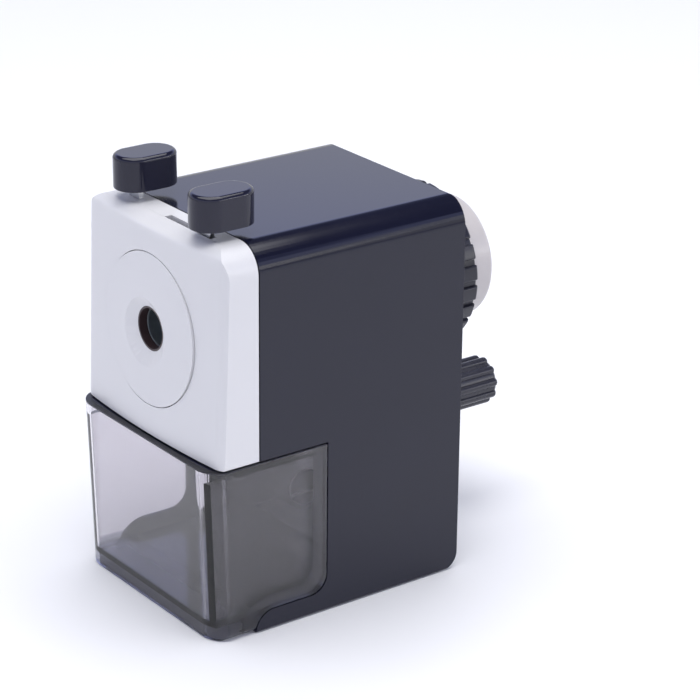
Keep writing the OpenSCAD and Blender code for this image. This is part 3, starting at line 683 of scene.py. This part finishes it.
tooth = strip([[polar(r, part * PITCH + TWIST * k / SLICES, TEETH_FROM + TEETH_LONG * k / SLICES)
                for part, r in TOOTH]
               for k in range(SLICES + 1)])
cutter_mesh = grown(around, "toothed_cutter", softened(tooth, "tooth", 0, sharp=25),
                    softened(cutter_core, "cutter_core", 0.1), Count=TEETH, Phase=0.0, Waver=0.004,
                    Seed=4, Finish=tool_steel)
PINION_Y, CUTTER_UP = 62, 6.5733     # the gear end of the cutter's axle, and how far above the pencil it is
cutter_place = (Matrix.Translation(Vector((0, PINION_Y + MIDDLE, AXIS_Z + CUTTER_UP)) * MM)
                @ Matrix.Rotation(-LEAN, 4, "X"))
stand_in(moved(cutter_mesh, cutter_place), "cutter", tool_steel)

# %% [markdown]
# The three screws that hold the jaws' guide plate are alike. One of them is cut out of its packed
# solid, and the tree puts it back three times, a third of a turn apart.

# %% Guide screws
def bearing(vert):
    """The direction of a point from the pencil's axis, in degrees."""
    return math.degrees(math.atan2(vert.co.z - AXIS_Z * MM, vert.co.x))


screw = bmesh.new()
screw.from_mesh(merged_skin(nodes["guide_screws"].data))
others = [v for v in screw.verts if not -30 < bearing(v) < 90]  # one third of the circle is kept
bmesh.ops.delete(screw, geom=others, context="VERTS")
one_screw = moved(closed_mesh(screw), to_axis(0, AXIS_Z).inverted())
screws_mesh = grown(around, "three_screws", softened(one_screw, "screw", 0.06), Count=3, Phase=0.0,
                    Waver=0.0, Seed=5, Finish=turned_steel)
stand_in(moved(screws_mesh, to_axis(0, AXIS_Z)), "guide_screws", turned_steel)

# %% [markdown]
# ## Table, light and camera
# The table is one pale sheet. A wide overhead light gives the top its blue-grey
# sheen, a tall one on the crank side draws the bright line along the rounded edge, and the pale
# surroundings fill the rest.

# %% Table and light
def plane(name, points, material):
    mesh = bpy.data.meshes.new(name)
    mesh.from_pydata(points, [], [tuple(range(len(points)))])
    mesh.materials.append(material)
    piece = bpy.data.objects.new(name, mesh)
    scene.collection.objects.link(piece)


TABLE_HALF = 6  # metres, so that no edge of the table shows
table_white = Finish("table_white", Roughness=0.6).set(Base_Color=(0.9, 0.9, 0.9))
plane("table", [(x * TABLE_HALF, y * TABLE_HALF, 0) for x, y in ((-1, -1), (1, -1), (1, 1), (-1, 1))],
      table_white)

world = bpy.data.worlds.new("studio")
scene.world = world
world.use_nodes = True
sky = world.node_tree
direction = sky.nodes.new("ShaderNodeTexCoord")
height = sky.nodes.new("ShaderNodeSeparateXYZ")
ramp = sky.nodes.new("ShaderNodeValToRGB")
sky.links.new(direction.outputs["Generated"], height.inputs[0])
sky.links.new(height.outputs["Z"], ramp.inputs[0])
sky.links.new(ramp.outputs[0], sky.nodes["Background"].inputs["Color"])
# the surroundings' brightness by height: pale at the sides, blue above them, dark overhead
SKY = ((0.0, (0.95, 0.95, 0.97)), (0.28, (0.95, 0.97, 1.03)), (0.36, (0.78, 0.86, 1.4)),
       (0.44, (0.72, 0.8, 1.3)), (0.56, (0.07, 0.08, 0.12)), (0.8, (0.05, 0.055, 0.08)))
for i, (place, colour) in enumerate(SKY):
    stop = ramp.color_ramp.elements[i] if i < 2 else ramp.color_ramp.elements.new(place)
    stop.position, stop.color = place, (*colour, 1)


def softbox(name, place, aim, size, power, colour):
    lamp = bpy.data.lights.new(name, "AREA")
    lamp.shape = "RECTANGLE"
    lamp.size, lamp.size_y = size
    lamp.energy = power
    lamp.color = colour
    light = bpy.data.objects.new(name, lamp)
    scene.collection.objects.link(light)
    light.location = place
    light.rotation_mode = "QUATERNION"
    light.rotation_quaternion = (Vector(aim) - Vector(place)).to_track_quat("-Z", "Y")


softbox("overhead", (0, 0, 1.5), (0, 0, 0), (1.7, 1.7), 32, (0.98, 0.98, 1.0))
softbox("edge_strip", (1.2, 0.84, 0.42), (0, 0, 0.1), (1.3, 0.09), 3.4, (1.0, 0.99, 0.98))

# %% [markdown]
# The camera looks down at the front right corner from three quarters of a metre, with a long lens, so
# the upright edges stay almost parallel.

# %% Camera
AZIMUTH, ELEVATION, ROLL = (math.radians(a) for a in (53.221, 22.007, 0.598))
DISTANCE, RIGHT_SHIFT, UP_SHIFT = 752.714, 21.077, 9.247
AIM = (0, 40 + MIDDLE, 56)   # near the middle of the housing
LENS = 137.24558             # focal length for a film 36 mm wide
back = Vector((math.sin(AZIMUTH) * math.cos(ELEVATION), -math.cos(AZIMUTH) * math.cos(ELEVATION),
               math.sin(ELEVATION)))
right = Vector((0, 0, 1)).cross(back).normalized()
up = back.cross(right)
lens = bpy.data.cameras.new("camera")
lens.sensor_width = 36
lens.lens = LENS
lens.clip_start, lens.clip_end = 0.05, 30
camera = bpy.data.objects.new("camera", lens)
scene.collection.objects.link(camera)
place = (Vector(AIM) + back * DISTANCE + right * RIGHT_SHIFT + up * UP_SHIFT) * MM
axes = Matrix((right * math.cos(ROLL) + up * math.sin(ROLL),
               up * math.cos(ROLL) - right * math.sin(ROLL), back))
camera.matrix_world = Matrix.Translation(place) @ axes.transposed().to_4x4()
scene.camera = camera
print("camera at", [round(c, 4) for c in place])
